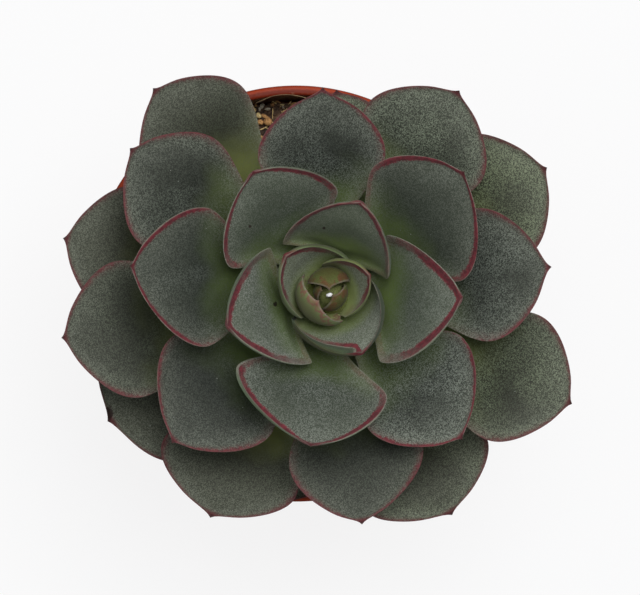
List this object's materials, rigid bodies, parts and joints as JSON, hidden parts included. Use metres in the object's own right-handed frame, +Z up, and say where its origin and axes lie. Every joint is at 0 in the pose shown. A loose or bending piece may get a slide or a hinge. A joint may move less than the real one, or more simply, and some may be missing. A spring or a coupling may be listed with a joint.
{
  "type": "potted rosette succulent",
  "caption": "Broad low rosette of fleshy pointed leaves on a short stem, rooted in potting mix in a round tapered nursery pot with a rolled lip and drain notches.",
  "frame": {"origin": "centre of the pot's underside, on the surface it stands on", "axes": "+Z up along the pot's axis; +Y towards the top edge of the reference picture, which looks straight down; +X to its right"},
  "size_m": [0.1018, 0.0894, 0.1076],
  "materials": {
    "pot_plastic": "satin moulded polypropylene, terracotta colour",
    "potting_mix": "loose damp peat with bark and pumice bits",
    "stem": "pale corky bark",
    "leaf_young": "fleshy, yellow green under a thin bloom, crimson margin",
    "leaf_grown": "fleshy, grey green with a frosted bloom, crimson margin",
    "leaf_old": "fleshy, grey green with a frosted bloom, brownish mauve margin"
  },
  "bodies": {
    "root": {"heart": "leaf_young", "leaf_07": "leaf_young", "leaf_08": "leaf_young", "leaf_09": "leaf_grown", "leaf_10": "leaf_grown", "leaf_11": "leaf_grown", "leaf_12": "leaf_grown", "leaf_13": "leaf_grown", "leaf_14": "leaf_grown", "leaf_15": "leaf_grown", "leaf_16": "leaf_grown", "leaf_17": "leaf_grown", "leaf_18": "leaf_grown", "leaf_19": "leaf_grown", "leaf_20": "leaf_old", "leaf_21": "leaf_old", "leaf_22": "leaf_old", "leaf_23": "leaf_old", "leaf_24": "leaf_old", "leaf_25": "leaf_old", "leaf_26": "leaf_old", "leaf_27": "leaf_old", "leaf_28": "leaf_old", "leaf_29": "leaf_old", "leaf_32": "leaf_old", "pot": "pot_plastic", "potting_mix": "potting_mix", "stem_and_roots": "stem"}
  },
  "joints": []
}
